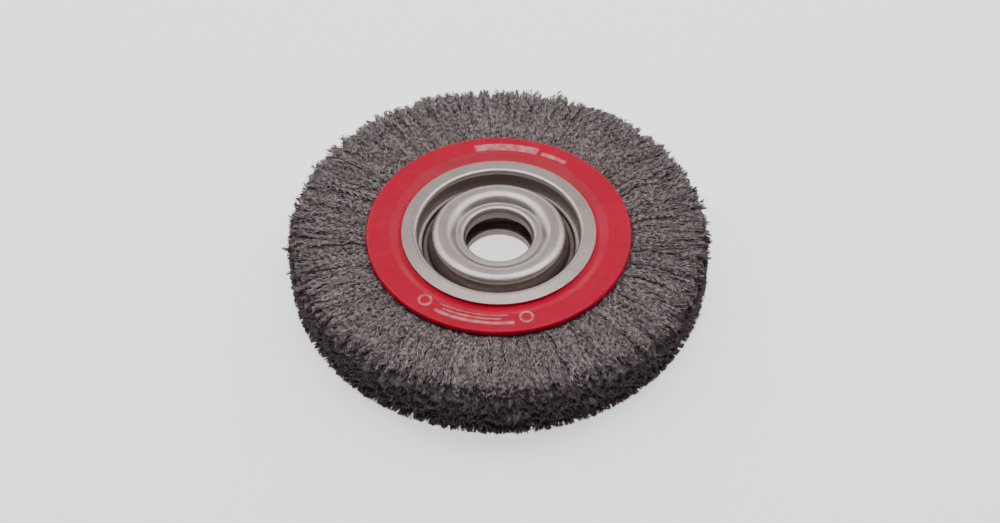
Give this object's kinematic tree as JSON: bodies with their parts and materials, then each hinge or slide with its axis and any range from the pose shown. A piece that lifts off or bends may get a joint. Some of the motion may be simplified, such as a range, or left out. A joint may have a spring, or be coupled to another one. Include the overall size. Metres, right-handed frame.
{
  "type": "wire wheel brush",
  "caption": "Crimped steel wire wheel brush for a bench grinder, with red face plates, bare steel clamp rings and a pressed steel hub with a plain round bore.",
  "frame": {"origin": "centre of the bore on the wheel's mid-plane, which is also the centre of the whole wheel", "axes": "+Z along the wheel's axis, out of the front face; X and Y lie in the mid-plane, and the wheel is stored lying flat"},
  "size_m": [0.2, 0.2, 0.0286],
  "materials": {
    "wire_steel": "satin",
    "red_lacquer": "gloss",
    "pressed_steel": "satin",
    "core_steel": "satin"
  },
  "bodies": {
    "root": {"core_ring": "core_steel", "front_face_plate": "red_lacquer", "front_clamp_ring": "pressed_steel", "front_hub_disc": "pressed_steel", "rear_face_plate": "red_lacquer", "rear_clamp_ring": "pressed_steel", "rear_hub_disc": "pressed_steel", "wire_bundle_01": "wire_steel", "wire_bundle_02": "wire_steel", "wire_bundle_03": "wire_steel", "wire_bundle_04": "wire_steel", "wire_bundle_05": "wire_steel", "wire_bundle_06": "wire_steel", "wire_bundle_07": "wire_steel", "wire_bundle_08": "wire_steel", "wire_bundle_09": "wire_steel", "wire_bundle_10": "wire_steel", "wire_bundle_11": "wire_steel", "wire_bundle_12": "wire_steel", "wire_bundle_13": "wire_steel", "wire_bundle_14": "wire_steel", "wire_bundle_15": "wire_steel", "wire_bundle_16": "wire_steel", "wire_bundle_17": "wire_steel", "wire_bundle_18": "wire_steel", "wire_bundle_19": "wire_steel", "wire_bundle_20": "wire_steel", "wire_bundle_21": "wire_steel", "wire_bundle_22": "wire_steel", "wire_bundle_23": "wire_steel", "wire_bundle_24": "wire_steel"}
  },
  "joints": []
}
